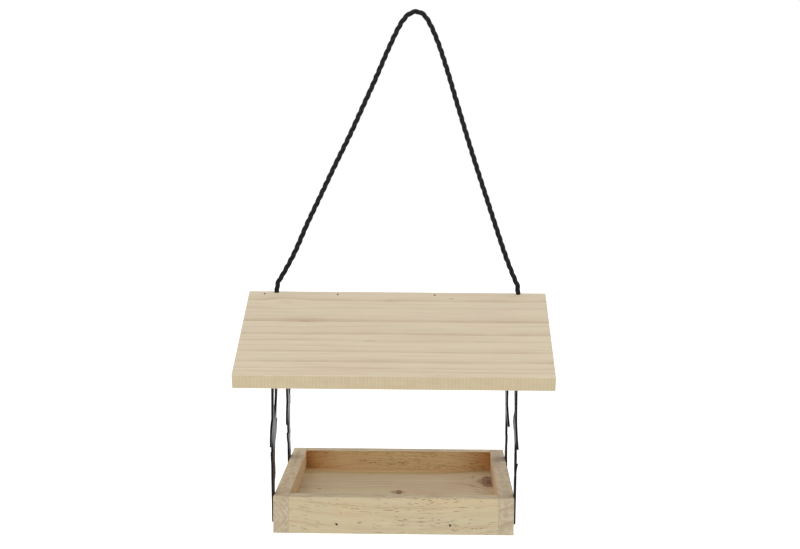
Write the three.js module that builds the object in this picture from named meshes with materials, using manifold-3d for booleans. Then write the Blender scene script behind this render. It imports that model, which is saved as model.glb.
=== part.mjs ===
// A hanging bird feeder: an open wooden tray under a gabled roof of two boards, two black sheet
// steel side panels that carry the tray, and a twisted rope through the ridge to hang it all by.
//
// Millimetres, +Z up, X along the ridge, the open front faces -Y. The origin is the point at the
// top of the rope loop that hangs on the hook. The feeder's own group has its zero in the middle
// of the tray, on the plane of the tray's underside.

import * as THREE from "three";
import { mergeVertices } from "three/addons/utils/BufferGeometryUtils.js";
import Module from "manifold-3d";

const wasm = await Module();
wasm.setup();

// ---- Driving dimensions -------------------------------------------------------------------

const GAP = 0.3; // clearance between pieces that fit in or rest on each other

const TRAY = { width: 229, depth: 230, height: 35.5, rail: 14.5, floor: 16 };

const ROOF = {
  length: 300,
  board: 159, // width of one board, ridge to eave, along its top face
  thick: 14.5,
  slope: THREE.MathUtils.degToRad(23.5),
  ridge: 220, // height of the ridge above the tray's underside
};

const PANEL = { sheet: 2, strip: [8, 28], band: 16, front: -110, rear: 98 };
const FLANGE = { width: 14, length: 34, at: [-78, 62] };

const BRAD = { head: 0.9, shaft: 0.7, headHeight: 1, length: 30, sunk: 0.6 };
const SHORT_BRAD = { ...BRAD, length: 20 };
const SCREW = { head: 3.2, shaft: 1.5, headHeight: 1.8, length: 13 };

const ROPE = { radius: 2.5, loop: 281, side: 17.5, hole: 122, holeRadius: 3.5 };
const KNOT = { radius: 5.1, below: 22.8, tail: 17 }; // below the ridge to the knot's middle

const FLOOR_NAILS = { x: 54, z: 9 };
const CORNER_NAILS = [9, 26]; // heights of the two nails in each corner of the tray
const RIDGE_BRADS = [-134, -60, 38]; // along the ridge
const RIDGE_BRAD_IN = 5; // from the ridge line to a brad's head
const PANEL_SCREWS = [-60, 40]; // along the tray's side, in the panel's bottom strip

// The free rope in the plane of the ridge, as x and z from the hang point, left hole to right.
const ROPE_ROUTE = [
  [-139.5, -278.2], [-138.3, -272], [-133.3, -263.5], [-121.8, -242], [-109.6, -214], [-95.6, -184.3],
  [-79.8, -151], [-65.8, -122.4], [-53.6, -95.6], [-40.3, -66.2], [-29, -39.8], [-18.6, -17.6],
  [-13, -8.2], [-7, -2.2], [0, 0], [6.8, -2.6], [12.8, -10.6], [21.2, -28.9], [30.3, -55],
  [40.4, -87.6], [50.8, -121], [61.6, -154.6], [72.2, -186.2], [82.6, -217.2], [93, -247],
  [101.4, -267.6], [104, -273.5], [104.5, -278.2],
];

// How finely the curved pieces are faceted.
const FACETS = { pin: 12, ropeHole: 16, leafEdge: 6, legEdge: 14, ropeRound: 5, ropeLong: 72, knot: 8 };

const FINISH = {
  pine: { color: 0xd8c6a2, roughness: 0.72, metalness: 0 },
  pineEdge: { color: 0xd6bf90, roughness: 0.75, metalness: 0 },
  blackSteel: { color: 0x0c0c0d, roughness: 0.35, metalness: 0.2 },
  nail: { color: 0x4a453d, roughness: 0.5, metalness: 0.8 },
  zinc: { color: 0x8f9194, roughness: 0.35, metalness: 0.9 },
  rope: { color: 0x161617, roughness: 0.85, metalness: 0 },
};

// ---- Geometry helpers ---------------------------------------------------------------------

const UP = new THREE.Vector3(0, 1, 0); // a lathe's own axis
const ALONG_X = new THREE.Matrix4().makeBasis(
  new THREE.Vector3(0, 1, 0),
  new THREE.Vector3(0, 0, 1),
  new THREE.Vector3(1, 0, 0),
);

function toSolid(geometry) {
  const bare = geometry.index ? geometry.toNonIndexed() : geometry.clone();
  bare.deleteAttribute("normal");
  bare.deleteAttribute("uv");
  const merged = mergeVertices(bare, 1e-4);
  return new wasm.Manifold(
    new wasm.Mesh({
      numProp: 3,
      vertProperties: merged.attributes.position.array,
      triVerts: new Uint32Array(merged.index.array),
    }),
  );
}

function toGeometry(solid) {
  const mesh = solid.getMesh();
  const geometry = new THREE.BufferGeometry();
  geometry.setAttribute("position", new THREE.BufferAttribute(mesh.vertProperties, mesh.numProp));
  geometry.setIndex(new THREE.BufferAttribute(mesh.triVerts, 1));
  geometry.computeVertexNormals();
  return geometry;
}

function joined(solids) {
  return solids.reduce((whole, piece) => whole.add(piece));
}

function cut(solid, tools) {
  return tools.reduce((left, tool) => left.subtract(tool), solid);
}

function named(name, geometry, finish) {
  const mesh = new THREE.Mesh(geometry, new THREE.MeshStandardMaterial(finish));
  mesh.name = name;
  return mesh;
}

// A solid with the outline given as [y, z] points, running along X from x0 to x1.
function prismAlongX(outline, x0, x1) {
  const shape = new THREE.Shape(outline.map(([y, z]) => new THREE.Vector2(y, z)));
  const depth = x1 - x0;
  const geometry = new THREE.ExtrudeGeometry(shape, { depth, bevelEnabled: false });
  geometry.applyMatrix4(ALONG_X).translate(x0, 0, 0);
  return toSolid(geometry);
}

function boxBetween(low, high) {
  const size = high.map((value, i) => value - low[i]);
  const middle = high.map((value, i) => (value + low[i]) / 2);
  return toSolid(new THREE.BoxGeometry(...size).translate(...middle));
}

// A headed pin. Its head's outer face is at the origin and its shaft runs down to -Y.
function pinGeometry({ head, shaft, headHeight, length }, spare = 0) {
  const profile = [
    [0, -length - spare],
    [shaft + spare, -length - spare],
    [shaft + spare, -headHeight - spare],
    [head + spare, -headHeight - spare],
    [head + spare, spare],
    [0, spare],
  ];
  return new THREE.LatheGeometry(profile.map(([r, y]) => new THREE.Vector2(r, y)), FACETS.pin);
}

// Where a pin goes: its head's middle, and the way its head faces.
function pinPlace(at, facing) {
  const turn = new THREE.Quaternion().setFromUnitVectors(UP, new THREE.Vector3(...facing));
  return { at: new THREE.Vector3(...at), turn };
}

function pinMesh(name, kind, place, finish) {
  const mesh = named(name, pinGeometry(kind), finish);
  mesh.position.copy(place.at);
  mesh.quaternion.copy(place.turn);
  return mesh;
}

// The hole that a pin sits in. Over a sunk head it has a mouth, which goes on past the wood's face.
function pinHole(kind, place) {
  const shaft = { ...kind, head: kind.shaft };
  const hole = pinGeometry(kind.sunk ? kind : shaft, GAP);
  const wide = kind.head + GAP;
  const tall = 4 * wide;
  const mouth = new THREE.CylinderGeometry(wide, wide, tall, FACETS.pin);
  mouth.translate(0, (tall - GAP) / 2, 0);
  const seat = new THREE.Matrix4().compose(place.at, place.turn, new THREE.Vector3(1, 1, 1));
  const solid = toSolid(hole.applyMatrix4(seat));
  return kind.sunk ? solid.add(toSolid(mouth.applyMatrix4(seat))) : solid;
}

function verticalHole(x, radius, low, high) {
  const drill = new THREE.CylinderGeometry(radius, radius, high - low, FACETS.ropeHole);
  return toSolid(drill.rotateX(Math.PI / 2).translate(x, 0, (low + high) / 2));
}

// ---- Roof ---------------------------------------------------------------------------------

const slopeSin = Math.sin(ROOF.slope);
const slopeCos = Math.cos(ROOF.slope);
const slopeTan = Math.tan(ROOF.slope);

// Height of the roof's underside above the tray's underside, at a distance from the ridge.
function undersideAt(y) {
  return ROOF.ridge - ROOF.thick / slopeCos - Math.abs(y) * slopeTan;
}

// One board, square at the eave and mitred at the ridge. side is -1 at the front, 1 at the back.
function roofBoard(side) {
  const mitre = GAP / 2;
  const eave = [ROOF.board * slopeCos, ROOF.ridge - ROOF.board * slopeSin];
  const outline = [
    [mitre, ROOF.ridge - mitre * slopeTan],
    [mitre, undersideAt(mitre)],
    [eave[0] - ROOF.thick * slopeSin, eave[1] - ROOF.thick * slopeCos],
    eave,
  ].map(([y, z]) => [side * y, z]);
  return prismAlongX(outline, -ROOF.length / 2, ROOF.length / 2);
}

// Brads driven through the front board's face near the ridge, aslant into the back board's end.
const ridgeBrads = RIDGE_BRADS.map((x) => {
  const facing = [0, -Math.SQRT1_2, Math.SQRT1_2];
  const inward = BRAD.sunk * Math.SQRT1_2;
  const head = [x, -RIDGE_BRAD_IN + inward, ROOF.ridge - RIDGE_BRAD_IN * slopeTan - inward];
  return pinPlace(head, facing);
});

// ---- Tray ---------------------------------------------------------------------------------

const halfWidth = TRAY.width / 2;
const halfDepth = TRAY.depth / 2;
const innerX = halfWidth - TRAY.rail;
const innerY = halfDepth - TRAY.rail;

const floorNails = [];
for (const [end, side] of [["front", -1], ["back", 1]]) {
  for (const [hand, x] of [["left", -FLOOR_NAILS.x], ["right", FLOOR_NAILS.x]]) {
    const place = pinPlace([x, side * (halfDepth - BRAD.sunk), FLOOR_NAILS.z], [0, side, 0]);
    floorNails.push({ name: `floor_nail_${end}_${hand}`, place });
  }
}

const cornerNails = [];
for (const [hand, across] of [["left", -1], ["right", 1]]) {
  for (const [end, along] of [["front", -1], ["back", 1]]) {
    const y = along * (halfDepth - TRAY.rail / 2);
    CORNER_NAILS.forEach((z, i) => {
      const place = pinPlace([across * (halfWidth - BRAD.sunk), y, z], [across, 0, 0]);
      cornerNails.push({ name: `corner_nail_${hand}_${end}_${i + 1}`, place });
    });
  }
}

// ---- Side panels --------------------------------------------------------------------------

const panelTop = GAP / slopeCos; // the sheet stays this far below the roof's underside

// A pointed leaf from base to tip, both [y, z], as wide as given in its middle.
function leaf([y0, z0], [y1, z1], width) {
  const along = new THREE.Vector2(y1 - y0, z1 - z0);
  const across = new THREE.Vector2(-along.y, along.x).normalize().multiplyScalar(width);
  const base = new THREE.Vector2(y0, z0);
  const tip = new THREE.Vector2(y1, z1);
  const belly = base.clone().lerp(tip, 0.45);
  const right = new THREE.QuadraticBezierCurve(base, belly.clone().sub(across), tip);
  const left = new THREE.QuadraticBezierCurve(tip, belly.clone().add(across), base);
  const edges = [right, left].flatMap((edge) => edge.getPoints(FACETS.leafEdge).slice(0, -1));
  return edges.map((point) => [point.x, point.y]);
}

// A leg between two smooth edges, each a list of [y, z] from the bottom up.
function leg(frontEdge, rearEdge) {
  const smooth = (edge) => {
    const curve = new THREE.SplineCurve(edge.map(([y, z]) => new THREE.Vector2(y, z)));
    return curve.getPoints(FACETS.legEdge).map((point) => [point.x, point.y]);
  };
  return [...smooth(rearEdge), ...smooth(frontEdge).reverse()];
}

const FRONT_LEG = leg(
  [[-104, 8], [-108, 36], [-110, 72], [-108, 104], [-108, 133], [-110, 150]],
  [[-92, 8], [-96, 36], [-94, 67], [-90, 86], [-83, 106], [-71, 133], [-56, 158], [-28, 186]],
);
const REAR_LEG = leg(
  [[60, 8], [58, 36], [56, 60], [50, 76], [43, 92], [34, 112], [22, 140], [6, 166], [-2, 190]],
  [[78, 8], [78, 36], [74, 62], [75, 88], [80, 107], [88, 132], [94, 152]],
);
const LEAVES = [
  leaf([-106, 110], [-121, 84], 9),
  leaf([-92, 84], [-76, 104], 8),
  leaf([-102, 60], [-114, 78], 6.5),
  leaf([-96, 46], [-84, 63], 6.5),
  leaf([50, 104], [24, 78], 9),
  leaf([72, 66], [88, 50], 8),
  leaf([60, 52], [44, 66], 7),
  leaf([76, 96], [96, 92], 8.5),
  leaf([32, 140], [4, 132], 9),
];
// The windows between the two branches that each leg forks into.
const FORKS = [leaf([-96, 106], [-84, 156], 24), leaf([68, 100], [38, 168], 34)];

function topBand() {
  const top = (y) => undersideAt(y) - panelTop;
  const stations = [PANEL.front, 0, PANEL.rear];
  const upper = stations.map((y) => [y, top(y)]);
  const lower = stations.map((y) => [y, top(y) - PANEL.band]).reverse();
  return [...lower, ...upper];
}

function bottomStrip() {
  const [low, high] = PANEL.strip;
  const front = FRONT_LEG.at(-1)[0];
  return [[front, low], [PANEL.rear, low], [PANEL.rear, high], [front, high]];
}

// A folded ear under one slope of the roof, as an outline that the screw goes up through.
function flangeOutline(y) {
  const side = Math.sign(y);
  const reach = (FLANGE.length / 2) * slopeCos;
  const top = [y - reach, y + reach].map((at) => [at, undersideAt(at) - panelTop]);
  const under = top.map(([at, z]) => [at - side * PANEL.sheet * slopeSin, z - PANEL.sheet * slopeCos]);
  return [under[0], under[1], top[1], top[0]];
}

// The screws of the panel on one hand: -1 is the left, 1 is the right.
function flangeScrews(hand) {
  const x = hand * (halfWidth - FLANGE.width / 2);
  return FLANGE.at.map((y) => {
    const down = [0, -Math.sign(y) * slopeSin, -slopeCos];
    const drop = PANEL.sheet + 2 * GAP + SCREW.headHeight;
    const head = [x, y + down[1] * drop, undersideAt(y) + down[2] * drop];
    return pinPlace(head, down);
  });
}

function stripScrews(hand) {
  const [low, high] = PANEL.strip;
  const x = hand * (halfWidth + PANEL.sheet + GAP + SCREW.headHeight);
  return PANEL_SCREWS.map((y) => pinPlace([x, y, (low + high) / 2], [hand, 0, 0]));
}

function sidePanel(hand) {
  const faces = [hand * halfWidth, hand * (halfWidth + PANEL.sheet)].sort((a, b) => a - b);
  const fold = [hand * (halfWidth - FLANGE.width), faces[hand > 0 ? 1 : 0]].sort((a, b) => a - b);
  const flat = [FRONT_LEG, REAR_LEG, topBand(), bottomStrip(), ...LEAVES];
  const sheets = flat.map((outline) => prismAlongX(outline, ...faces));
  const flanges = FLANGE.at.map((y) => prismAlongX(flangeOutline(y), ...fold));
  const holes = [...flangeScrews(hand), ...stripScrews(hand)].map((place) => pinHole(SCREW, place));
  const windows = FORKS.map((outline) => prismAlongX(outline, faces[0] - GAP, faces[1] + GAP));
  return cut(joined([...sheets, ...flanges]), [...holes, ...windows]);
}

// ---- Rope ---------------------------------------------------------------------------------

function ropeTube() {
  const route = ROPE_ROUTE.map(([x, z]) => new THREE.Vector3(x, 0, z));
  const path = new THREE.CatmullRomCurve3(route, false, "centripetal");
  const section = new THREE.Shape().absarc(0, 0, ROPE.radius, 0, 2 * Math.PI);
  const { ropeLong: steps, ropeRound: curveSegments } = FACETS;
  const sweep = { steps, curveSegments, bevelEnabled: false, extrudePath: path };
  const tube = toSolid(new THREE.ExtrudeGeometry(section, sweep));
  const balls = [route.at(0), route.at(-1)].map((end) =>
    toSolid(new THREE.SphereGeometry(ROPE.radius, 10, 8).translate(end.x, end.y, end.z)),
  );
  return joined([tube, ...balls]);
}

// The rope's end: down through the roof, a stopper knot under it, and a short tail.
function ropeEndGeometry() {
  const middle = ROOF.ridge - KNOT.below;
  const reach = Math.sqrt(KNOT.radius ** 2 - ROPE.radius ** 2);
  const start = Math.atan2(-reach, ROPE.radius);
  const turn = (step) => start - (2 * start * step) / FACETS.knot;
  const bulge = Array.from({ length: FACETS.knot + 1 }, (_, step) => [
    KNOT.radius * Math.cos(turn(step)),
    middle + KNOT.radius * Math.sin(turn(step)),
  ]);
  const tail = middle - KNOT.tail;
  const profile = [[0, tail], [ROPE.radius, tail], ...bulge, [ROPE.radius, ROOF.ridge], [0, ROOF.ridge]];
  const lathe = new THREE.LatheGeometry(profile.map(([r, z]) => new THREE.Vector2(r, z)), FACETS.pin);
  return lathe.rotateX(Math.PI / 2);
}

// ---- Assembly -----------------------------------------------------------------------------

function roofMeshes() {
  const holes = [-1, 1].map((hand) =>
    verticalHole(hand * ROPE.hole, ROPE.holeRadius, ROOF.ridge - 40, ROOF.ridge + 10),
  );
  const brads = ridgeBrads.map((place) => pinHole(SHORT_BRAD, place));
  const screws = [-1, 1].flatMap(flangeScrews).map((place) => pinHole(SCREW, place));
  const boards = [["roof_front_board", -1], ["roof_back_board", 1]].map(([name, side]) =>
    named(name, toGeometry(cut(roofBoard(side), [...holes, ...brads, ...screws])), FINISH.pine),
  );
  const pins = ridgeBrads.map((place, i) => pinMesh(`ridge_brad_${i + 1}`, SHORT_BRAD, place, FINISH.nail));
  return [...boards, ...pins];
}

function trayMeshes() {
  const screws = [-1, 1].flatMap(stripScrews).map((place) => pinHole(SCREW, place));
  const nails = [...floorNails, ...cornerNails];
  const holes = [...nails.map(({ place }) => pinHole(BRAD, place)), ...screws];
  const top = TRAY.height;
  const boards = {
    tray_side_left: [[-halfWidth, -halfDepth, 0], [-innerX, halfDepth, top]],
    tray_side_right: [[innerX, -halfDepth, 0], [halfWidth, halfDepth, top]],
    tray_front_rail: [[-innerX, -halfDepth, 0], [innerX, -innerY, top]],
    tray_back_rail: [[-innerX, innerY, 0], [innerX, halfDepth, top]],
    tray_floor: [[-innerX, -innerY, 0], [innerX, innerY, TRAY.floor]],
  };
  const meshes = Object.entries(boards).map(([name, [low, high]]) =>
    named(name, toGeometry(cut(boxBetween(low, high), holes)), FINISH.pineEdge),
  );
  return [...meshes, ...nails.map(({ name, place }) => pinMesh(name, BRAD, place, FINISH.nail))];
}

function panelMeshes() {
  return [["left", -1], ["right", 1]].flatMap(([name, hand]) => [
    named(`side_panel_${name}`, toGeometry(sidePanel(hand)), FINISH.blackSteel),
    ...flangeScrews(hand).map((place, i) => pinMesh(`roof_screw_${name}_${i + 1}`, SCREW, place, FINISH.zinc)),
    ...stripScrews(hand).map((place, i) => pinMesh(`panel_screw_${name}_${i + 1}`, SCREW, place, FINISH.zinc)),
  ]);
}

function ropeEndMeshes() {
  return [["left", -1], ["right", 1]].map(([name, hand]) => {
    const mesh = named(`rope_end_${name}`, ropeEndGeometry(), FINISH.rope);
    mesh.position.x = hand * ROPE.hole;
    return mesh;
  });
}

const feeder = new THREE.Group();
feeder.add(...roofMeshes(), ...trayMeshes(), ...panelMeshes(), ...ropeEndMeshes());
feeder.position.set(-ROPE.side, 0, -(ROOF.ridge + ROPE.loop));

const birdFeeder = new THREE.Group();
birdFeeder.add(feeder, named("hanging_rope", toGeometry(ropeTube()), FINISH.rope));

export default birdFeeder;
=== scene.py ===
"""The looks of the hanging bird feeder: pine boards, black sheet steel sides and twisted rope.

Metres, +Z up, X along the ridge, the open front faces -Y. The origin is the top of the rope's
loop. Places come from the CAD nodes' boxes; sizes of small details are named here.
"""

import math
import random

import bmesh
import bpy
from mathutils import Matrix, Vector


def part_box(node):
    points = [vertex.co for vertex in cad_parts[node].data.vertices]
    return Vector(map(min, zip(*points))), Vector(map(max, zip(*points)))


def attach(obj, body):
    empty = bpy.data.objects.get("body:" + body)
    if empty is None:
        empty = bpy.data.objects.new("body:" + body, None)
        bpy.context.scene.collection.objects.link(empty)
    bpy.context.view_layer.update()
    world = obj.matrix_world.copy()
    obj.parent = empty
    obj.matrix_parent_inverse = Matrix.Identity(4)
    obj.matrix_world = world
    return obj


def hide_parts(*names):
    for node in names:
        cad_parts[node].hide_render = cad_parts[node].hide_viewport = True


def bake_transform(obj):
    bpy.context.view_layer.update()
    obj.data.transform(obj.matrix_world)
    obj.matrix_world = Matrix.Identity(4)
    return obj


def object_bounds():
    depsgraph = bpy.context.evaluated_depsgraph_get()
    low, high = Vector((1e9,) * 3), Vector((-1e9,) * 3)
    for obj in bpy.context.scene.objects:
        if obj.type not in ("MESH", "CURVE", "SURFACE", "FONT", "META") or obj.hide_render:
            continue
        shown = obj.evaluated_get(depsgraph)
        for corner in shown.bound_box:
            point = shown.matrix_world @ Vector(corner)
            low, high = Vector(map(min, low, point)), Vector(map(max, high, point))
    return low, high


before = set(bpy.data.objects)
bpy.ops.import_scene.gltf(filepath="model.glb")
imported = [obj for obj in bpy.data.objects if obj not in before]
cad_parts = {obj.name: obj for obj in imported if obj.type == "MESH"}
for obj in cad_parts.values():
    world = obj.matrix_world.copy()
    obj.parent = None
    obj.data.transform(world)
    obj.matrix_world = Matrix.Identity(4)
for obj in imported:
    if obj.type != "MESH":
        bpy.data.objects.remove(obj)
CAD_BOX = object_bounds()

MM = 0.001

FEEDER = Vector((-17.5, 0, -501)) * MM  # middle of the tray on the plane of its underside
SLOPE = math.radians(23.5)  # of the roof
RIDGE = 220 * MM  # above the tray's underside
ROOF_THICK = 14.5 * MM
ROOF_BOARD = 159 * MM  # from ridge to eave
ROPE_HOLE = (122 * MM, 3.5 * MM)  # from the feeder's middle to a hole, and the hole's radius
SIDES = (("left", -1), ("right", 1))

# ---- Camera, floor and light ----------------------------------------------------------------

LENS = 69.5  # millimetres on a 36 mm sensor
CAMERA_AT = Vector((15.3, -1556.1, -120.8)) * MM
CAMERA_AIM = Vector((-14.8, 0.0, -263.1)) * MM
CAMERA_ROLL = math.radians(0.345)
FLOOR_DROP = 0.9  # from the tray's underside to the floor
FLOOR_HALF = 14.0


def make_camera():
    data = bpy.data.cameras.new("camera")
    data.lens = LENS
    camera = bpy.data.objects.new("camera", data)
    bpy.context.collection.objects.link(camera)
    aim = (CAMERA_AIM - CAMERA_AT).to_track_quat("-Z", "Y").to_matrix()
    turned = aim @ Matrix.Rotation(CAMERA_ROLL, 3, "Z")
    camera.matrix_world = Matrix.Translation(CAMERA_AT) @ turned.to_4x4()
    bpy.context.scene.camera = camera


def wire(tree, kind, inputs=None, **settings):
    """A new node with its settings. An input takes a value or another node's output."""
    made = tree.nodes.new(kind)
    for key, value in settings.items():
        setattr(made, key, value)
    for key, value in (inputs or {}).items():
        if isinstance(value, bpy.types.NodeSocket):
            tree.links.new(value, made.inputs[key])
        else:
            made.inputs[key].default_value = value
    return made


def make_world():
    """White all round and below, and dimmer overhead, where the lamps give direction."""
    world = bpy.data.worlds.new("studio")
    world.use_nodes = True
    tree = world.node_tree
    place = wire(tree, "ShaderNodeTexCoord")
    height = wire(tree, "ShaderNodeSeparateXYZ", {0: place.outputs["Generated"]}).outputs[2]
    level = wire(tree, "ShaderNodeMapRange", {0: height, 1: 0.14, 2: 0.4, 3: 1.02, 4: 0.85}).outputs[0]
    tree.links.new(level, tree.nodes["Background"].inputs["Strength"])
    tree.nodes["Background"].inputs["Color"].default_value = (1, 1, 1, 1)
    bpy.context.scene.world = world


def make_floor():
    half = FLOOR_HALF
    level = CAD_BOX[0][2] - FLOOR_DROP
    mesh = bpy.data.meshes.new("floor")
    corners = [(-half, -half, level), (half, -half, level), (half, half, level), (-half, half, level)]
    mesh.from_pydata(corners, [], [(0, 1, 2, 3)])
    floor = bpy.data.objects.new("floor", mesh)
    bpy.context.collection.objects.link(floor)
    material = bpy.data.materials.new("floor_white")
    material.use_nodes = True
    tree = material.node_tree
    tree.nodes.clear()
    paint = wire(tree, "ShaderNodeBsdfDiffuse", {"Color": (0.7, 0.7, 0.7, 1)})
    glow = wire(tree, "ShaderNodeEmission", {"Color": (1, 1, 1, 1), "Strength": 0.66})
    both = wire(tree, "ShaderNodeAddShader", {0: paint.outputs[0], 1: glow.outputs[0]})
    wire(tree, "ShaderNodeOutputMaterial", {"Surface": both.outputs[0]})
    mesh.materials.append(material)


def area_light(name, at, aim, size, power):
    data = bpy.data.lights.new(name, "AREA")
    data.shape = "DISK"
    data.size = size
    data.energy = power
    light = bpy.data.objects.new(name, data)
    light.location = at
    light.rotation_euler = (Vector(aim) - Vector(at)).to_track_quat("-Z", "Y").to_euler()
    bpy.context.collection.objects.link(light)


make_camera()
make_world()
make_floor()
area_light("key", (-0.5, -1.75, 0.42), (0, 0, -0.35), 1.0, 12)
area_light("fill", (1.3, 1.2, 0.9), (0, 0, -0.35), 1.4, 7)
bpy.context.scene.view_settings.view_transform = "Standard"

# ---- Shader helpers -------------------------------------------------------------------------


class Shader:
    """A material's nodes, each called for by what it works out."""

    def __init__(self, name):
        self.material = bpy.data.materials.new(name)
        self.material.use_nodes = True
        self.tree = self.material.node_tree
        self.tree.nodes.clear()

    def node(self, kind, inputs, **settings):
        return wire(self.tree, "ShaderNode" + kind, inputs, **settings)

    def attribute(self, name):
        return self.node("Attribute", {}, attribute_name=name).outputs["Vector"]

    def split(self, vector):
        parts = self.node("SeparateXYZ", {0: vector})
        return parts.outputs[0], parts.outputs[1], parts.outputs[2]

    def join(self, x, y, z=0.0):
        return self.node("CombineXYZ", {0: x, 1: y, 2: z}).outputs[0]

    def calc(self, operation, *values):
        return self.node("Math", dict(enumerate(values)), operation=operation).outputs[0]

    def total(self, first, *rest):
        for value in rest:
            first = self.calc("ADD", first, value)
        return first

    def times(self, first, *rest):
        for value in rest:
            first = self.calc("MULTIPLY", first, value)
        return first

    def stretched(self, vector, x, y, z):
        return self.node("VectorMath", {0: vector, 1: (x, y, z)}, operation="MULTIPLY").outputs[0]

    def noise(self, vector, detail=2.0, rough=0.5, kind="3D"):
        inputs = {"Vector": vector, "Scale": 1.0, "Detail": detail, "Roughness": rough}
        return self.node("TexNoise", inputs, noise_dimensions=kind).outputs[0]

    def ranged(self, value, low, high, to_low=0.0, to_high=1.0, smooth=False):
        inputs = {0: value, 1: low, 2: high, 3: to_low, 4: to_high}
        style = "SMOOTHSTEP" if smooth else "LINEAR"
        return self.node("MapRange", inputs, interpolation_type=style).outputs[0]

    def ramp(self, value, stops):
        made = self.node("ValToRGB", {0: value})
        points = made.color_ramp.elements
        while len(points) < len(stops):
            points.new(0.5)
        for point, (at, level) in zip(points, stops):
            point.position = at
            point.color = (level, level, level, 1)
        return made.outputs[0]

    def mix(self, factor, a, b, style="MIX"):
        a, b = [(*c, 1) if isinstance(c, tuple) and len(c) == 3 else c for c in (a, b)]
        return self.node("Mix", {0: factor, 6: a, 7: b}, data_type="RGBA", blend_type=style).outputs[2]

    def bump(self, height, depth, strength=1.0, below=None):
        inputs = {"Height": height, "Distance": depth, "Strength": strength}
        if below is not None:
            inputs["Normal"] = below
        return self.node("Bump", inputs).outputs[0]

    def finish(self, **inputs):
        named = {}
        for key, value in inputs.items():
            named[key.replace("_", " ").title().replace("Ior", "IOR")] = value
        shader = self.node("BsdfPrincipled", named)
        self.node("OutputMaterial", {0: shader.outputs[0]})
        return self.material


# ---- Objects --------------------------------------------------------------------------------


def link(name, mesh, *materials):
    """An object in the scene with the mesh and its materials."""
    made = bpy.data.objects.new(name, mesh)
    for material in materials:
        mesh.materials.append(material)
    bpy.context.collection.objects.link(made)
    return made


def node_box(node):
    """The lowest and highest corner of a CAD node."""
    low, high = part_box(node)
    return Vector(low), Vector(high)


# ---- Rope -----------------------------------------------------------------------------------

OVER_STRANDS = 5.35 * MM  # the rope's thickness over the crowns of its strands
LAY = 25.5 * MM  # length of rope for one turn of a strand
STRANDS = 3
STRAND_R = OVER_STRANDS * 0.265  # the strands are pressed into each other
STRAND_OFF = OVER_STRANDS / 2 - STRAND_R  # from the rope's middle to a strand's
YARNS = 6  # ridges round a strand

# The free rope in the plane of the ridge, as x and z from the hang point, left hole to right.
ROPE_ROUTE = [
    (-139.5, -278.2), (-138.3, -272), (-133.3, -263.5), (-121.8, -242), (-109.6, -214), (-95.6, -184.3),
    (-79.8, -151), (-65.8, -122.4), (-53.6, -95.6), (-40.3, -66.2), (-29, -39.8), (-18.6, -17.6),
    (-13, -8.2), (-7, -2.2), (0, 0), (6.8, -2.6), (12.8, -10.6), (21.2, -28.9), (30.3, -55),
    (40.4, -87.6), (50.8, -121), (61.6, -154.6), (72.2, -186.2), (82.6, -217.2), (93, -247),
    (101.4, -267.6), (104, -273.5), (104.5, -278.2),
]


def smooth_route(points, step):
    """A centripetal Catmull-Rom curve through the points, resampled every step."""
    ends = [points[0] * 2 - points[1], *points, points[-1] * 2 - points[-2]]
    fine = []
    for p0, p1, p2, p3 in zip(ends, ends[1:], ends[2:], ends[3:]):
        t1 = (p1 - p0).length ** 0.5
        t2 = t1 + (p2 - p1).length ** 0.5
        t3 = t2 + (p3 - p2).length ** 0.5
        for i in range(24):
            t = t1 + (t2 - t1) * i / 24
            a1 = p0.lerp(p1, t / t1)
            a2 = p1.lerp(p2, (t - t1) / (t2 - t1))
            a3 = p2.lerp(p3, (t - t2) / (t3 - t2))
            b1 = a1.lerp(a2, t / t2)
            b2 = a2.lerp(a3, (t - t1) / (t3 - t1))
            fine.append(b1.lerp(b2, (t - t1) / (t2 - t1)))
    fine.append(points[-1].copy())
    return even_steps(fine, step)


def even_steps(line, step):
    """The line with points about a step apart, all by the same amount."""
    total = sum((b - a).length for a, b in zip(line, line[1:]))
    count = max(2, round(total / step))
    spacing = total / count
    even = [line[0].copy()]
    left = spacing
    for a, b in zip(line, line[1:]):
        span = (b - a).length
        while span >= left > 0 and len(even) < count:
            a = a.lerp(b, left / span)
            span = (b - a).length
            even.append(a.copy())
            left = spacing
        left -= span
    even.append(line[-1].copy())
    return even


def frames_along(line):
    """A direction, side and up at each point, turned as little as possible from one to the next."""
    along = [(b - a).normalized() for a, b in zip(line, line[1:])]
    along.append(along[-1])
    side = Vector((0, 1, 0))
    side = (side - along[0] * side.dot(along[0])).normalized()
    frames = []
    for here in along:
        side = (side - here * side.dot(here)).normalized()
        frames.append((here, side, here.cross(side)))
    return frames


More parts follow.
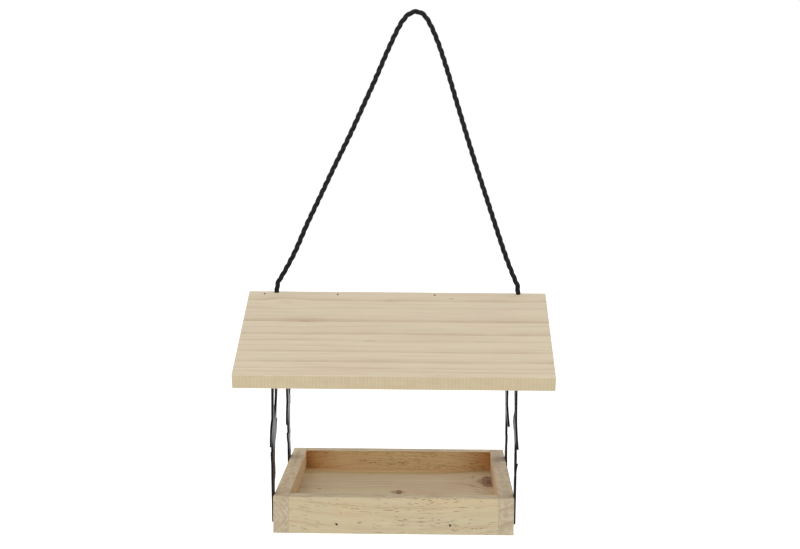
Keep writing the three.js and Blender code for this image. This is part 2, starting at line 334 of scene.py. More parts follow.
def rope_mesh(name, line, start=0.0, squeeze=lambda i: 1.0):
    """Three strands laid round the line. start is the length of rope before the line begins."""
    verts = []
    faces = []
    sides = 4 * YARNS
    frames = frames_along(line)
    for strand in range(STRANDS):
        first = len(verts)
        length = start
        for i, (point, (_, side, up)) in enumerate(zip(line, frames)):
            if i:
                length += (point - line[i - 1]).length
            scale = squeeze(i)
            turn = 2 * math.pi * (length / LAY + strand / STRANDS)
            out = side * math.cos(turn) + up * math.sin(turn)
            across = up * math.cos(turn) - side * math.sin(turn)
            middle = point + out * STRAND_OFF * scale
            for k in range(sides):
                angle = 2 * math.pi * k / sides
                ridge = 1 + 0.05 * math.cos(YARNS * angle + 2 * math.pi * length / (LAY * 0.42))
                spread = STRAND_R * scale * ridge
                verts.append(middle + (out * math.cos(angle) + across * math.sin(angle)) * spread)
        rows = len(line)
        for i in range(rows - 1):
            for k in range(sides):
                a = first + i * sides + k
                b = first + i * sides + (k + 1) % sides
                faces.append((a, b, b + sides, a + sides))
        faces.append(tuple(first + k for k in reversed(range(sides))))
        faces.append(tuple(first + (rows - 1) * sides + k for k in range(sides)))
    mesh = bpy.data.meshes.new(name)
    mesh.from_pydata(verts, [], faces)
    mesh.shade_smooth()
    return mesh


def rope_material():
    s = Shader("black_rope")
    place = s.node("TexCoord", {}).outputs["Object"]
    fuzz = s.noise(s.stretched(place, 2600, 2600, 2600), 3.0)
    return s.finish(
        base_color=s.mix(s.ranged(fuzz, 0.3, 0.75), (0.003, 0.003, 0.0038), (0.012, 0.012, 0.0145)),
        roughness=0.6,
        specular_ior_level=0.17,
        normal=s.bump(fuzz, 0.1 * MM, 0.5),
    )


BLACK_ROPE = rope_material()


def make_rope():
    """The free rope, which bends over where it meets the feeder. Returns its length."""
    route = [Vector((x, 0, z)) * MM for x, z in ROPE_ROUTE]
    line = smooth_route(route, 1.2 * MM)
    rope = link("rope", rope_mesh("rope", line), BLACK_ROPE)
    length = sum((b - a).length for a, b in zip(line, line[1:]))
    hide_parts("hanging_rope")
    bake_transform(rope)
    return length


ROPE_LENGTH = make_rope()

# ---- Pine -----------------------------------------------------------------------------------

# A growth ring from its start to its end: pale early wood that darkens, then a thin late line.
RING_PROFILE = [
    (0.0, 0.1), (0.04, 0.0), (0.45, 0.06), (0.78, 0.32), (0.92, 0.85), (0.97, 1.0), (1.0, 0.25),
]
LINES_SPAN = 0.2  # metres across the board within which Pine.lines may lie
LINES_MOST = 20  # as many as Pine.lines may hold
LINES_SLANT = 0.5  # how far the lines move across for each step through the board
SAW_PITCH = 3.4 * MM  # of the saw's marks on cut edges
MOTTLED = (0.62, 0.56, 0.5)  # what the handled patches on cut faces keep of their colour
RESIN = (0.12, 0.05, 0.025)
KNOT_HEART = ((0.13, 0.05, 0.025), (0.3, 0.15, 0.08))


class Pine:
    """How one board looks. Lengths are in metres and in the board's own grain frame."""

    def __init__(self, seed, pith=None, spacing=None, **extra):
        self.seed = seed
        self.pith = pith  # across and through, from the board's corner of the grain frame
        self.spacing = spacing  # from ring to ring
        self.pointed = 0.0  # how far the rings are from round to four-cornered
        self.lines = ()  # late lines across the board, in place of pith and spacing
        self.bow = 0.0  # how far the lines move across in the first metre along, as a parabola
        self.middle = 0.0  # where along the board that parabola turns
        self.wander = 1.6 * MM  # how far the lines stray to each side
        self.early = (0.6, 0.5, 0.35)  # colours of early wood, late wood and patches
        self.late = (0.38, 0.25, 0.14)
        self.patch = (0.6, 0.46, 0.35)
        self.rings = 0.6  # how dark the late lines are
        self.dashes = 0.0  # how many resin dashes there are
        self.knots = ()  # along, across, radius, how much longer than wide, how dark
        self.tints = ()  # colours multiplied over parts of the board, for painted shade and painted bounce light: a colour, then each range it's held to: which way, start, where full
        self.end = (0.5, 0.42, 0.3)  # colours of cut ends and cut edges
        self.edge = (0.55, 0.46, 0.29)
        self.sawn = 0.4  # how strong the saw's marks are
        self.mottled = 0.7  # how strong the handled patches on cut faces are
        for key, value in extra.items():
            setattr(self, key, value)


def around_knots(s, look, u, v):
    """The way across with the lines parted round each knot, and how much each point is knot."""
    shade = None
    for along, across, radius, stretch, depth in look.knots:
        du = s.calc("SUBTRACT", u, along)
        dv = s.calc("SUBTRACT", v, across)
        rough = s.noise(s.join(s.times(u, 400.0), s.times(v, 400.0), look.seed), 2.0)
        spread = s.join(s.times(du, 1 / (radius * stretch)), s.times(dv, 1 / radius))
        away = s.node("VectorMath", {0: spread}, operation="LENGTH").outputs["Value"]
        away = s.total(away, s.ranged(rough, 0.0, 1.0, -0.25, 0.25))
        pull = s.calc("EXPONENT", s.times(away, away, -0.16))
        v = s.calc("SUBTRACT", v, s.times(dv, pull, 0.85))
        whorl = s.ranged(s.calc("SINE", s.times(away, 11.0)), -1, 1, 0.55, 1)
        heart = s.times(s.ranged(away, 1.35, 0.35, 0, depth, smooth=True), whorl)
        shade = heart if shade is None else s.calc("MAXIMUM", shade, heart)
    return v, shade


def ring_count(s, look, v, w):
    """How many growth rings lie between a point and the pith."""
    if look.lines:
        stops = [(at / LINES_SPAN, i / LINES_MOST) for i, at in enumerate(look.lines)]
        slanted = s.total(v, s.times(s.calc("SUBTRACT", w, ROOF_THICK), LINES_SLANT))
        return s.times(s.ramp(s.times(slanted, 1 / LINES_SPAN), stops), float(LINES_MOST))
    radial = s.join(s.calc("SUBTRACT", v, look.pith[0]), s.calc("SUBTRACT", w, look.pith[1]))
    radius = s.node("VectorMath", {0: radial}, operation="LENGTH").outputs["Value"]
    if look.pointed:
        x, y, _ = s.split(s.node("VectorMath", {0: radial}, operation="ABSOLUTE").outputs[0])
        radius = s.total(s.times(radius, 1 - look.pointed), s.times(s.total(x, y), look.pointed * 0.8))
    uneven = s.noise(s.join(s.times(radius, 0.4 / look.spacing), look.seed), 1.0)
    return s.total(s.times(radius, 1 / look.spacing), s.times(uneven, 1.6))


def shaded(colour, *shares):
    return tuple(c * share for c, share in zip(colour, shares))


def pine(name, look):
    """A board's material: rings, fibres, resin dashes and knots, painted shade and bounce light from its
    tints, with ends and edges of their own.
    """
    s = Shader(name)
    grain = s.attribute("grain")
    kind = s.attribute("cut")
    u, v, w = s.split(grain)
    is_end, is_edge, _ = s.split(kind)
    seeded = s.node("VectorMath", {0: grain, 1: (look.seed * 1.7, 0, 0)}, operation="ADD").outputs[0]

    v, knot = around_knots(s, look, u, v)
    from_middle = s.calc("SUBTRACT", u, look.middle)
    drift = s.times(from_middle, from_middle, look.bow)
    slow = s.noise(s.stretched(seeded, 7, 22, 22), 2.0)
    quick = s.noise(s.stretched(seeded, 30, 90, 90), 2.0)
    stray = s.ranged(slow, 0, 1, -look.wander, look.wander)
    wander = s.total(stray, s.ranged(quick, 0, 1, -0.0007, 0.0007))
    across = s.total(v, drift, wander)

    rings = ring_count(s, look, across, w)
    number = s.calc("FLOOR", rings)
    part = s.calc("FRACT", rings)
    late = s.ramp(part, RING_PROFILE)
    along = s.noise(s.join(s.times(u, 14.0), s.times(number, 3.7), look.seed), 2.0)
    each = s.node("TexWhiteNoise", {"W": number}, noise_dimensions="1D").outputs["Value"]
    strength = s.times(s.ranged(each, 0, 1, 0.45, 1.0), s.ranged(along, 0.3, 0.7, 0.35, 1.15))
    ring_dark = s.times(late, strength, look.rings)

    fibre = s.noise(s.join(s.times(u, 26.0), s.times(across, 1500.0), s.times(w, 1500.0)), 3.0, 0.6)
    streak = s.noise(s.join(s.times(u, 9.0), s.times(across, 260.0), s.times(w, 260.0)), 3.0, 0.55)
    cloud = s.noise(s.stretched(seeded, 16, 30, 30), 2.0)

    colour = s.mix(s.ranged(cloud, 0.42, 0.66), look.early, look.patch)
    colour = s.mix(s.ranged(streak, 0.5, 0.8, 0, 0.4), colour, look.late)
    colour = s.mix(ring_dark, colour, look.late)
    colour = s.mix(s.ranged(fibre, 0.3, 0.72, 0.0, 0.14), colour, (0.34, 0.24, 0.15))
    colour = s.mix(s.ranged(fibre, 0.42, 0.2, 0.0, 0.25), colour, (0.8, 0.72, 0.56))

    if look.dashes:
        slid = s.noise(s.join(s.times(across, 420.0), s.times(w, 420.0), look.seed), 2.0)
        along_row = s.total(s.times(u, 220.0), s.times(slid, 22.0))
        spots = s.join(along_row, s.times(across, 900.0), s.times(w, 900.0))
        cells = s.node("TexVoronoi", {"Vector": spots, "Scale": 1.0, "Randomness": 1.0})
        chance = s.split(cells.outputs["Color"])[0]
        crowd = s.noise(s.stretched(seeded, 13, 90, 60), 2.0)
        there = s.calc("LESS_THAN", chance, s.ranged(crowd, 0.35, 0.7, 0.02, look.dashes))
        size = s.split(cells.outputs["Color"])[1]
        reach = s.ranged(size, 0, 1, 0.28, 0.55)
        dash = s.times(s.ranged(cells.outputs["Distance"], reach, s.times(reach, 0.5), smooth=True), there)
        colour = s.mix(s.times(dash, 0.9), colour, RESIN)

    if knot is not None:
        grainy = s.noise(s.stretched(grain, 500, 500, 500), 3.0)
        heart = s.mix(s.ranged(grainy, 0.4, 0.62), *KNOT_HEART)
        colour = s.mix(knot, colour, heart)

    # Painted shade and painted bounce light, multiplied over parts of the board.
    for tint, *held in look.tints:
        share = 1.0
        for way, start, full in held:
            where = s.calc("ABSOLUTE", (u, v, w)[way])
            share = s.times(s.ranged(where, start, full, smooth=True), share)
        colour = s.mix(share, colour, tint, "MULTIPLY")

    pores = s.noise(s.stretched(grain, 700, 700, 700), 3.0, 0.6)
    mottle = s.noise(s.stretched(seeded, 75, 170, 170), 3.0, 0.6)
    mottle = s.ranged(mottle, 0.42, 0.64, 0, look.mottled)
    end = s.mix(s.times(late, 0.62), look.end, (0.2, 0.14, 0.085))
    end = s.mix(s.ranged(pores, 0.45, 0.75, 0, 0.5), end, (0.24, 0.18, 0.12))
    end = s.mix(mottle, end, shaded(look.end, *MOTTLED))
    colour = s.mix(s.times(is_end, 0.85), colour, end)

    marks = s.noise(s.join(s.times(u, 300.0), s.times(v, 12.0), s.times(w, 14.0)), 1.0)
    teeth = s.calc("SINE", s.total(s.times(u, 2 * math.pi / SAW_PITCH), s.times(marks, 5.0)))
    marks = s.total(s.times(marks, 0.4), s.ranged(teeth, -1, 1, 0.1, 0.5))
    edge = s.mix(s.ranged(marks, 0.35, 0.65, 0, look.sawn), look.edge, shaded(look.edge, 0.8, 0.8, 0.8))
    edge = s.mix(mottle, edge, shaded(look.edge, *MOTTLED))
    edge = s.mix(s.ranged(streak, 0.45, 0.75, 0, 0.35), edge, look.late)
    edge = s.mix(s.times(ring_dark, 0.6), edge, look.late)
    colour = s.mix(s.times(is_edge, 0.8), colour, edge)

    height = s.total(s.times(fibre, 0.6), s.times(ring_dark, -0.35), s.times(marks, is_edge, look.sawn))
    height = s.total(height, s.times(pores, is_end, 0.8))
    return s.finish(
        base_color=colour,
        roughness=s.ranged(fibre, 0, 1, 0.56, 0.74),
        specular_ior_level=0.28,
        normal=s.bump(height, 0.16 * MM, 0.6),
    )


# ---- Boards ---------------------------------------------------------------------------------

SOFTEN = 0.45 * MM  # the rubbed edges of the boards
NAIL_HOLE = 1.15 * MM  # radius of the hole round a head
BRAD_HEAD = 0.9 * MM  # radius
MITRE = 0.15 * MM  # from the middle to each roof board at the ridge


def tube_cutter(at, toward, radius, length, sides=20):
    """A closed round bar from at, that runs toward for its length."""
    bm = bmesh.new()
    turn = Vector(toward).to_track_quat("Z", "Y").to_matrix().to_4x4()
    bmesh.ops.create_cone(
        bm, cap_ends=True, segments=sides, radius1=radius, radius2=radius, depth=length,
        matrix=Matrix.Translation(Vector(at) + Vector(toward).normalized() * length / 2) @ turn,
    )
    return as_mesh("cutter", bm)


def prism(outline, along, low, high):
    """A bmesh with the outline, given as points, swept along an axis from low to high."""
    bm = bmesh.new()
    along = Vector(along)
    bottom = [bm.verts.new(Vector(p) + along * low) for p in outline]
    top = [bm.verts.new(Vector(p) + along * high) for p in outline]
    bm.faces.new(bottom[::-1])
    bm.faces.new(top)
    for i in range(len(outline)):
        j = (i + 1) % len(outline)
        bm.faces.new((bottom[i], bottom[j], top[j], top[i]))
    bmesh.ops.recalc_face_normals(bm, faces=bm.faces)
    return bm


def as_mesh(name, bm):
    """The bmesh as a mesh. The bmesh is freed."""
    mesh = bpy.data.meshes.new(name)
    bm.to_mesh(mesh)
    bm.free()
    return mesh


def cut_out(mesh, cutters):
    """A new mesh: the mesh with the closed cutters taken out of it."""
    body = link("shape", mesh)
    tools = [link("cutter", cutter) for cutter in cutters]
    for tool in tools:
        boolean = body.modifiers.new("hole", "BOOLEAN")
        boolean.object = tool
        boolean.operation = "DIFFERENCE"
        boolean.solver = "EXACT"
    depsgraph = bpy.context.evaluated_depsgraph_get()
    made = bpy.data.meshes.new_from_object(body.evaluated_get(depsgraph), depsgraph=depsgraph)
    for used in (*tools, body):
        bpy.data.objects.remove(used)
    return made


def carved(bm, cutters):
    """The shape with softened edges and the cutters taken out of it, as a mesh."""
    bmesh.ops.bevel(
        bm, geom=bm.edges[:], offset=SOFTEN, segments=3, profile=0.5, affect="EDGES", clamp_overlap=True
    )
    return cut_out(as_mesh("shape", bm), cutters)


def grain_attributes(mesh, corner, axes):
    """Where each point lies along, across and through the board, and which faces are cut."""
    u, v, w = [Vector(a).normalized() for a in axes]
    place = mesh.attributes.new("grain", "FLOAT_VECTOR", "POINT")
    for vertex, out in zip(mesh.vertices, place.data):
        at = vertex.co - corner
        out.vector = (at.dot(u), at.dot(v), at.dot(w))
    kind = mesh.attributes.new("cut", "FLOAT_VECTOR", "FACE")
    for face, out in zip(mesh.polygons, kind.data):
        end = abs(face.normal.dot(u)) > 0.75
        edge = not end and abs(face.normal.dot(v)) > 0.75
        out.vector = (float(end), float(edge), 0)


def finish_board(mesh, material, node):
    """The board's object in place of its node, smooth except at sharp edges."""
    mesh.shade_smooth()
    mesh.set_sharp_from_angle(angle=math.radians(38))
    board = link(node + "_pine", mesh, material)
    weighted = board.modifiers.new("normals", "WEIGHTED_NORMAL")
    weighted.keep_sharp = True
    weighted.weight = 100
    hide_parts(node)
    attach(board, "feeder")


def nail_cutters(nodes, facing):
    """Round holes in which the nails' heads sit, a little below the face they're driven into."""
    cutters = []
    for node in nodes:
        low, high = node_box(node)
        middle = (low + high) / 2
        out = Vector(facing).normalized()
        reach = sum(abs(out[i]) * (high[i] - low[i]) / 2 for i in range(3))
        head = middle + out * reach
        cutters.append(tube_cutter(head - out * 0.2 * MM, out, NAIL_HOLE, 4 * MM))
    return cutters


def make_roof():
    """Two boards, mitred at the ridge and square at the eave, with the rope's holes through them."""
    down = Vector((0, -math.cos(SLOPE), -math.sin(SLOPE)))
    out = Vector((0, -math.sin(SLOPE), math.cos(SLOPE)))
    holes = []
    for _, hand in SIDES:
        foot = FEEDER + Vector((hand * ROPE_HOLE[0], 0, RIDGE - 40 * MM))
        holes.append(tube_cutter(foot, (0, 0, 1), ROPE_HOLE[1], 60 * MM, 28))
    ridge = FEEDER + Vector((0, -MITRE, RIDGE - MITRE * math.tan(SLOPE)))
    under = ridge - Vector((0, 0, ROOF_THICK / math.cos(SLOPE)))
    eave = FEEDER + Vector((0, 0, RIDGE)) + down * ROOF_BOARD
    boards = (("roof_front_board", 1, ROOF_FRONT), ("roof_back_board", -1, ROOF_BACK))
    for node, mirror, look in boards:
        low, high = node_box(node)
        outline = [ridge, under, eave - out * ROOF_THICK, eave]
        outline = [Vector((0, p.y * mirror, p.z)) for p in outline]
        bm = prism(outline, (1, 0, 0), low.x, high.x)
        cutters = [c.copy() for c in holes]
        if mirror > 0:
            cutters += ridge_brad_cutters()
        mesh = carved(bm, cutters)
        corner = FEEDER + Vector((0, 0, RIDGE)) - Vector((0, out.y * mirror, out.z)) * ROOF_THICK
        axes = [(mirror, 0, 0), (0, down.y * mirror, down.z), (0, out.y * mirror, out.z)]
        grain_attributes(mesh, corner, axes)
        finish_board(mesh, pine(node, look), node)


def ridge_brad_cutters():
    """Round holes for the brads, driven through the front board near the ridge."""
    facing = Vector((0, -1, 1)).normalized()
    cutters = []
    for i in range(3):
        low, high = node_box(f"ridge_brad_{i + 1}")
        inset = BRAD_HEAD * facing.z
        head = Vector(((low.x + high.x) / 2, low.y + inset, high.z - inset))
        cutters.append(tube_cutter(head - facing * 0.3 * MM, facing, NAIL_HOLE, 5 * MM))
    return cutters


def make_tray():
    """Four rails, each with holes for the nails driven into it, and a floor."""
    nails_into = {
        "tray_front_rail": (("floor_nail_front_left", "floor_nail_front_right"), (0, -1, 0)),
        "tray_back_rail": (("floor_nail_back_left", "floor_nail_back_right"), (0, 1, 0)),
    }
    for name, hand in SIDES:
        nodes = [f"corner_nail_{name}_{end}_{i}" for end in ("front", "back") for i in (1, 2)]
        nails_into[f"tray_side_{name}"] = (nodes, (hand, 0, 0))
    frames = {
        "tray_front_rail": ((1, 0, 0), (0, 0, 1), (0, -1, 0)),
        "tray_back_rail": ((1, 0, 0), (0, 0, 1), (0, -1, 0)),
        "tray_side_left": ((0, 1, 0), (0, 0, 1), (-1, 0, 0)),
        "tray_side_right": ((0, 1, 0), (0, 0, 1), (1, 0, 0)),
        "tray_floor": ((1, 0, 0), (0, 1, 0), (0, 0, 1)),
    }
    for node, axes in frames.items():
        low, high = node_box(node)
        outline = [(0, low.y, low.z), (0, high.y, low.z), (0, high.y, high.z), (0, low.y, high.z)]
        bm = prism(outline, (1, 0, 0), low.x, high.x)
        nails, facing = nails_into.get(node, ((), (0, 0, 1)))
        mesh = carved(bm, nail_cutters(nails, facing))
        middle = (low + high) / 2
        u, v, w = [Vector(a) for a in axes]
        size = high - low
        corner = middle - v * abs(v.dot(size)) / 2 - w * abs(w.dot(size)) / 2
        grain_attributes(mesh, corner, axes)
        finish_board(mesh, pine(node, TRAY_LOOKS[node]), node)


ROOF_PINE = {
    "early": (0.605, 0.525, 0.385),
    "late": (0.42, 0.31, 0.2),
    "patch": (0.605, 0.505, 0.38),
    "edge": (0.415, 0.345, 0.208),
    "sawn": 0.5,
    "mottled": 0.2,
}
ROOF_FRONT = Pine(
    seed=3.0,
    lines=tuple(at * MM for at in (-6, 19.5, 34.5, 60, 85, 97, 117, 135, 146, 151.5, 175)),
    wander=1.2 * MM,
    rings=0.85,
    knots=(
        (55 * MM, 13.3 * MM, 1.5 * MM, 2.4, 0.45),
        (-110 * MM, 22 * MM, 4 * MM, 2.2, 0.12),
        (-86 * MM, 59 * MM, 1.6 * MM, 5, 0.25),
        (-24 * MM, 96 * MM, 1.4 * MM, 5, 0.25),
        (-7 * MM, 18 * MM, 1.2 * MM, 5, 0.2),
    ),
    **ROOF_PINE,
)
ROOF_BACK = Pine(
    seed=11.0,
    pith=(64 * MM, -70 * MM),
    spacing=7 * MM,
    bow=0.25,
    rings=0.8,
    knots=((-48 * MM, 92 * MM, 5 * MM, 1.5, 0.7),),
    **ROOF_PINE,
)
RAIL_END = (0.405, 0.35, 0.25)
RAIL_RIM = (0.66, 0.57, 0.41)
TRAY_LOOKS = {
    "tray_front_rail": Pine(
        seed=21.0,
        pith=(60 * MM, -30 * MM),
        spacing=7 * MM,
        bow=-0.55,
        middle=14 * MM,
        # Its colours are darker than the roof's: partly the board's own tone, partly painted shade, as its
        # front face gets less light than the roof's top.
        early=(0.42, 0.36, 0.23),
        late=(0.33, 0.225, 0.12),
        patch=(0.45, 0.36, 0.22),
        rings=0.45,
        dashes=0.7,
        edge=RAIL_RIM,
    ),
    "tray_back_rail": Pine(
        seed=33.0,
        pith=(-30 * MM, 40 * MM),
        spacing=4.4 * MM,
        bow=0.8,
        early=(0.58, 0.48, 0.31),
        late=(0.36, 0.24, 0.13),
        patch=(0.56, 0.43, 0.28),
        rings=0.75,
        dashes=0.95,
        # The inner face is made warmer: partly the board's own orange tone, partly painted warm bounce
        # light. Towards both ends it is much darker: painted shade in the tray's back corners.
        tints=(
            ((1.12, 0.98, 0.77), (2, 8 * MM, 12 * MM)),
            ((0.68, 0.425, 0.204), (2, 8 * MM, 12 * MM), (0, 50 * MM, 112 * MM)),
        ),
        end=RAIL_END,
        edge=RAIL_RIM,
    ),
    "tray_side_left": Pine(
        seed=41.0,
        pith=(16 * MM, 22 * MM),
        spacing=4.2 * MM,
        pointed=0.6,
        wander=2.4 * MM,
        early=(0.62, 0.48, 0.3),
        late=(0.4, 0.26, 0.14),
        patch=(0.6, 0.42, 0.26),
        dashes=0.12,
        # The inner face, away from its ends, is made a little lighter and warmer: painted bounce light.
        tints=(((1.1, 1.07, 1.0), (2, 6 * MM, 3 * MM), (0, 104 * MM, 98 * MM)),),
        end=RAIL_END,
        edge=RAIL_RIM,
    ),
    "tray_side_right": Pine(
        seed=52.0,
        pith=(-95 * MM, 48 * MM),
        spacing=14 * MM,
        early=(0.58, 0.48, 0.32),
        late=(0.38, 0.26, 0.15),
        patch=(0.56, 0.44, 0.29),
        dashes=0.12,
        # The inner face, away from its ends, is made lighter and warmer: painted bounce light.
        tints=(((1.25, 1.15, 1.1), (2, 6 * MM, 3 * MM), (0, 104 * MM, 98 * MM)),),
        end=RAIL_END,
        edge=(0.53, 0.455, 0.33),
    ),
    "tray_floor": Pine(
        seed=63.0,
        pith=(90 * MM, -60 * MM),
        spacing=7 * MM,
        bow=0.3,
        early=(0.615, 0.515, 0.34),
        late=(0.38, 0.24, 0.14),
        patch=(0.595, 0.445, 0.288),
        rings=0.75,
        knots=(
            (1.7 * MM, 91.7 * MM, 8 * MM, 1, 0.8),
            (3 * MM, 91.2 * MM, 4.4 * MM, 0.7, 1.35),
            (96 * MM, 144 * MM, 19 * MM, 0.7, 0.85),
            (96 * MM, 143 * MM, 10 * MM, 0.8, 1.3),
            (80 * MM, 149 * MM, 3 * MM, 0.8, 0.5),
            (79 * MM, 137 * MM, 3 * MM, 0.7, 0.45),
            (82 * MM, 127 * MM, 3 * MM, 0.9, 0.6),
            (84 * MM, 112 * MM, 3 * MM, 0.8, 0.6),
            (90 * MM, 101 * MM, 2.5 * MM, 0.8, 0.5),
            (-79 * MM, 104 * MM, 2.6 * MM, 1, 0.7),
        ),
        # The top face is darker and warmer along the back: painted shade by the back rail. In the last
        # strip by the back rail it is made lighter again.
        tints=(
            ((0.9, 0.86, 0.7), (1, 168 * MM, 178 * MM), (2, 3 * MM, 5 * MM)),
            ((1.41, 1.31, 1.32), (1, 182 * MM, 192 * MM), (2, 3 * MM, 5 * MM)),
        ),
    ),
}

make_roof()
make_tray()

# ---- Side panels ----------------------------------------------------------------------------

SHEET = 2.1 * MM
SHEET_OFF = 0.05 * MM  # from the tray's side to the sheet
TRAY_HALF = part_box("tray_side_right")[1][0] - FEEDER.x
SHEET_OUT = TRAY_HALF + SHEET_OFF + SHEET  # the sheet's outer face, from the feeder's middle
CAD_SHEET = 2 * MM


class Bend:
    """A part of the sheet pressed aside, from a base to a tip that goes furthest out."""

    def __init__(self, base, tip, width, out):
        self.base = Vector(base) * MM
        self.way = (Vector(tip) - Vector(base)) * MM
        self.width = width * MM
        self.out = out * MM

    def at(self, y, z):
        here = Vector((y, z)) - self.base
        part = here.dot(self.way) / self.way.length_squared
        beside = abs(here.x * self.way.y - here.y * self.way.x) / self.way.length
        if not 0 < part < 1.15 or beside > self.width:
            return 0.0
        return self.out * part * part


# Leaves bent out of the sheet, in the feeder's y and z: base, tip, reach to each side, tip's way out.
BENDS = {
    "right": [
        Bend((-108, 108), (-121, 84), 9, 1.5),
        Bend((-96, 46), (-84, 63), 7, 2.3),
        Bend((48, 102), (24, 78), 9, 1.6),
        Bend((-94, 86), (-76, 104), 8, -1.4),
        Bend((72, 66), (88, 50), 8, 1.4),
        Bend((30, 139), (4, 132), 8, 0.6),
        Bend((78, 96), (96, 92), 8, 0.8),
    ],
    "left": [
        Bend((-108, 108), (-121, 84), 9, -0.1),
        Bend((-96, 46), (-84, 63), 7, 1.1),
        Bend((48, 102), (24, 78), 9, -0.6),
        Bend((-94, 86), (-76, 104), 8, -0.2),
        Bend((72, 66), (88, 50), 8, 1.2),
        Bend((78, 96), (96, 92), 8, 1.2),
    ],
}
BULGE = {"left": 0.4 * MM, "right": 0.2 * MM}  # how far the legs bow out between the strip and the roof
# How far each leg is twisted, as a rise over a run, and the y it turns about: front leg, rear leg.
TWIST = {
    "left": ((-0.016, -110 * MM), (0.03, 60 * MM)),
    "right": ((0.03, -110 * MM), (0.022, 90 * MM)),
}
LEGS_PART = -30 * MM  # the y between the front leg and the rear leg
LEGS_FROM = 30 * MM  # where the legs start, above the tray's underside
LEGS_HEIGHT = 145 * MM
GRID = 6  # millimetres between the cuts that let a flat sheet bend


def black_steel():
    s = Shader("black_steel")
    place = s.node("TexCoord", {}).outputs["Object"]
    peel = s.noise(s.stretched(place, 1400, 1400, 1400), 2.0)
    wave = s.noise(s.stretched(place, 60, 60, 60), 1.0)
    height = s.total(s.times(peel, 0.4), s.times(wave, 3.0))
    return s.finish(
        base_color=(0.003, 0.003, 0.0034, 1),
        roughness=s.ranged(peel, 0, 1, 0.32, 0.42),
        ior=1.22,
        normal=s.bump(height, 0.05 * MM, 0.5),
    )


def make_panels():
    """Each CAD sheet, cut into a grid and bent a little."""
    steel = black_steel()
    for name, hand in SIDES:
        node = f"side_panel_{name}"
        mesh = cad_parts[node].data.copy()
        mesh.materials.clear()
        bm = bmesh.new()
        bm.from_mesh(mesh)
        bmesh.ops.remove_doubles(bm, verts=bm.verts, dist=0.005 * MM)
        bmesh.ops.dissolve_limit(bm, angle_limit=math.radians(1), verts=bm.verts, edges=bm.edges)
        for y in range(-120, 108, GRID):
            cut_at(bm, Vector((0, y * MM, 0)) + FEEDER, (0, 1, 0))
        for z in range(12, 204, GRID):
            cut_at(bm, Vector((0, 0, z * MM)) + FEEDER, (0, 0, 1))
        for vertex in bm.verts:
            bend_vertex(vertex, name, hand)
        bm.to_mesh(mesh)
        bm.free()
        mesh.shade_smooth()
        mesh.set_sharp_from_angle(angle=math.radians(35))
        panel = link(node + "_steel", mesh, steel)
        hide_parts(node)
        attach(panel, "feeder")


def cut_at(bm, point, normal):
    """Splits the faces along a plane."""
    everything = bm.verts[:] + bm.edges[:] + bm.faces[:]
    bmesh.ops.bisect_plane(bm, geom=everything, plane_co=point, plane_no=normal, dist=0.001 * MM)


def bend_vertex(vertex, name, hand):
    """Moves a point of the sheet out by its leg's bulge and twist and by the bent leaves."""
    at = vertex.co - FEEDER
    across = at.x * hand
    if across < TRAY_HALF - 0.1 * MM:
        return
    across = TRAY_HALF + SHEET_OFF + (across - TRAY_HALF) * SHEET / CAD_SHEET
    rise = min(max((at.z - LEGS_FROM) / LEGS_HEIGHT, 0), 1)
    free = math.sin(math.pi * rise) ** 0.6
    slant, pivot = TWIST[name][0 if at.y < LEGS_PART else 1]
    across += free * (BULGE[name] + slant * (at.y - pivot))
    across += sum(bend.at(at.y, at.z) for bend in BENDS[name])
    vertex.co.x = FEEDER.x + across * hand


make_panels()

# ---- Screws and nails -----------------------------------------------------------------------


def lathe(profile, sides=28):
    """A bmesh turned round Z from radius and height pairs, closed where the radius is nought."""
    bm = bmesh.new()
    rings = []
    for radius, z in profile:
        if radius:
            angles = [2 * math.pi * k / sides for k in range(sides)]
            rings.append([bm.verts.new((radius * math.cos(a), radius * math.sin(a), z)) for a in angles])
        else:
            rings.append([bm.verts.new((0, 0, z))])
    for low, high in zip(rings, rings[1:]):
        for k in range(sides):
            j = (k + 1) % sides
            corners = [low[k % len(low)], low[j % len(low)], high[j % len(high)], high[k % len(high)]]
            bm.faces.new(list(dict.fromkeys(corners)))
    bmesh.ops.recalc_face_normals(bm, faces=bm.faces)
    return bm


SCREW_HEAD = 3.2 * MM  # radius
SCREW_HEIGHT = 1.9 * MM
CROSS = (1.9 * MM, 0.5 * MM)  # half the recess's length and half its width
CROSS_FLOOR = 0.75 * MM  # above the head's seat
CROSS_TOP = 3 * MM
CROSS_TAPER = 0.55  # the recess's floor, as a share of its mouth


def cross_cutter(x, y):
    """One bar of the cross recess, narrower at its floor."""
    corners = [(-x, -y, 0), (x, -y, 0), (x, y, 0), (-x, y, 0)]
    bm = prism(corners, (0, 0, 1), CROSS_FLOOR, CROSS_TOP)
    for vertex in bm.verts:
        if vertex.co.z < (CROSS_FLOOR + CROSS_TOP) / 2:
            vertex.co.x *= CROSS_TAPER
            vertex.co.y *= CROSS_TAPER
    return as_mesh("cross", bm)


def screw_mesh():
    """A pan head with a cross recess and a short shank. Its seat is at the origin, its top up +Z."""
    profile = [(0, -9 * MM), (0.5 * MM, -8 * MM), (1.3 * MM, -6 * MM), (1.3 * MM, 0)]
    profile.append((SCREW_HEAD * 0.97, 0))
    for angle in (0, 0.35, 0.7, 1.0, 1.3):
        profile.append((SCREW_HEAD * math.cos(angle), SCREW_HEIGHT * (0.38 + 0.62 * math.sin(angle))))
    profile.append((0, SCREW_HEIGHT))
    length, width = CROSS
    cross = [cross_cutter(length, width), cross_cutter(width, length)]
    made = cut_out(as_mesh("screw", lathe(profile)), cross)
    made.shade_smooth()
    made.set_sharp_from_angle(angle=math.radians(35))
    return made


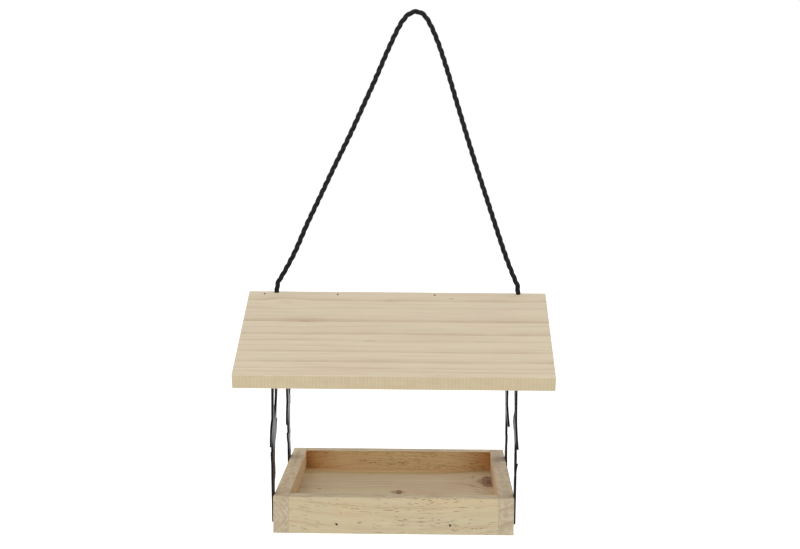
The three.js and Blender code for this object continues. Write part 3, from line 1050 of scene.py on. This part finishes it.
def metal(name, colour, roughness):
    s = Shader(name)
    place = s.node("TexCoord", {}).outputs["Object"]
    worn = s.noise(s.stretched(place, 900, 900, 900), 3.0)
    tone = s.mix(s.ranged(worn, 0.35, 0.75), colour, tuple(c * 0.55 for c in colour))
    return s.finish(
        base_color=tone,
        metallic=0.9,
        roughness=s.ranged(worn, 0.3, 0.7, roughness, roughness + 0.2),
        normal=s.bump(worn, 0.03 * MM, 0.4),
    )


def make_screws():
    zinc = metal("screw_zinc", (0.42, 0.43, 0.44), 0.3)
    shape = screw_mesh()
    turn = random.Random(5)
    for name, hand in SIDES:
        for kind in ("roof", "panel"):
            for i in (1, 2):
                node = f"{kind}_screw_{name}_{i}"
                low, high = node_box(node)
                middle = (low + high) / 2
                if kind == "panel":
                    facing = Vector((hand, 0, 0))
                    seat = Vector((FEEDER.x + hand * SHEET_OUT, middle.y, middle.z))
                else:
                    slope = 1 if middle.y > 0 else -1
                    facing = Vector((0, -slope * math.sin(SLOPE), -math.cos(SLOPE)))
                    reach = (high - low).z / 2 - SCREW_HEAD * math.sin(SLOPE)
                    seat = middle + facing * (reach / math.cos(SLOPE) - SCREW_HEIGHT)
                screw = link(node + "_pan", shape.copy(), zinc)
                spin = Matrix.Rotation(turn.uniform(0, math.pi), 4, "Z")
                turned = facing.to_track_quat("Z", "Y").to_matrix().to_4x4()
                screw.matrix_world = Matrix.Translation(seat) @ turned @ spin
                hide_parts(node)
                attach(screw, "feeder")


def paint_nails():
    """The nails and brads keep their CAD meshes, in dull steel."""
    wire_steel = metal("nail_steel", (0.035, 0.03, 0.026), 0.6)
    for name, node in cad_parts.items():
        if "nail" in name or "brad" in name:
            node.data.materials.clear()
            node.data.materials.append(wire_steel)


make_screws()
paint_nails()

# ---- Rope ends ------------------------------------------------------------------------------

KNOT_AT = 197.2 * MM  # height of the knot's middle
ROPE_LAP = 0.9 * MM  # how far the rope through the roof reaches up into the free rope
KNOT_ROPE = 0.76  # the rope in the knot is pulled tight to this share of its size
KNOT_SIZE = 2.25 * MM
KNOT_STEPS = 24


def knot_line(hand):
    """Down through the roof, an overhand knot drawn tight under it, and a short tail."""
    middle = FEEDER + Vector((hand * ROPE_HOLE[0], 0, KNOT_AT))
    top = ROPE_ROUTE[0][1] * MM - (FEEDER.z + KNOT_AT) + ROPE_LAP
    line = [Vector((0, 0, top))]
    line += [Vector(p) * MM for p in ((0, 0.1, 17), (0, 1.2, 12), (0, 3.4, 7.5))]
    for i in range(KNOT_STEPS + 1):
        t = math.radians(20) + math.radians(320) * i / KNOT_STEPS
        x = math.sin(t) + 2 * math.sin(2 * t)
        y = -(math.cos(t) - 2 * math.cos(2 * t))
        line.append(Vector((-0.9 * math.sin(3 * t), y - 0.7, x)) * KNOT_SIZE)
    line += [Vector(p) * MM for p in ((0, 3.6, -8), (0.3, 2.6, -12.5), (0.6, 1.4, -17.0))]
    return [middle + Vector((p.x * hand, p.y, p.z)) for p in line]


def make_rope_ends():
    for name, hand in SIDES:
        line = smooth_route(knot_line(hand), 0.8 * MM)
        knot = FEEDER + Vector((hand * ROPE_HOLE[0], 0, KNOT_AT))
        tight = [min(max(((p - knot).length - 7 * MM) / (5 * MM), 0), 1) for p in line]
        start = (0 if hand < 0 else ROPE_LENGTH) - ROPE_LAP
        node = f"rope_end_{name}"
        mesh = rope_mesh(node, line, start, lambda i: KNOT_ROPE + (1 - KNOT_ROPE) * tight[i])
        end = link(node + "_knot", mesh, BLACK_ROPE)
        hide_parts(node)
        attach(end, "feeder")


make_rope_ends()
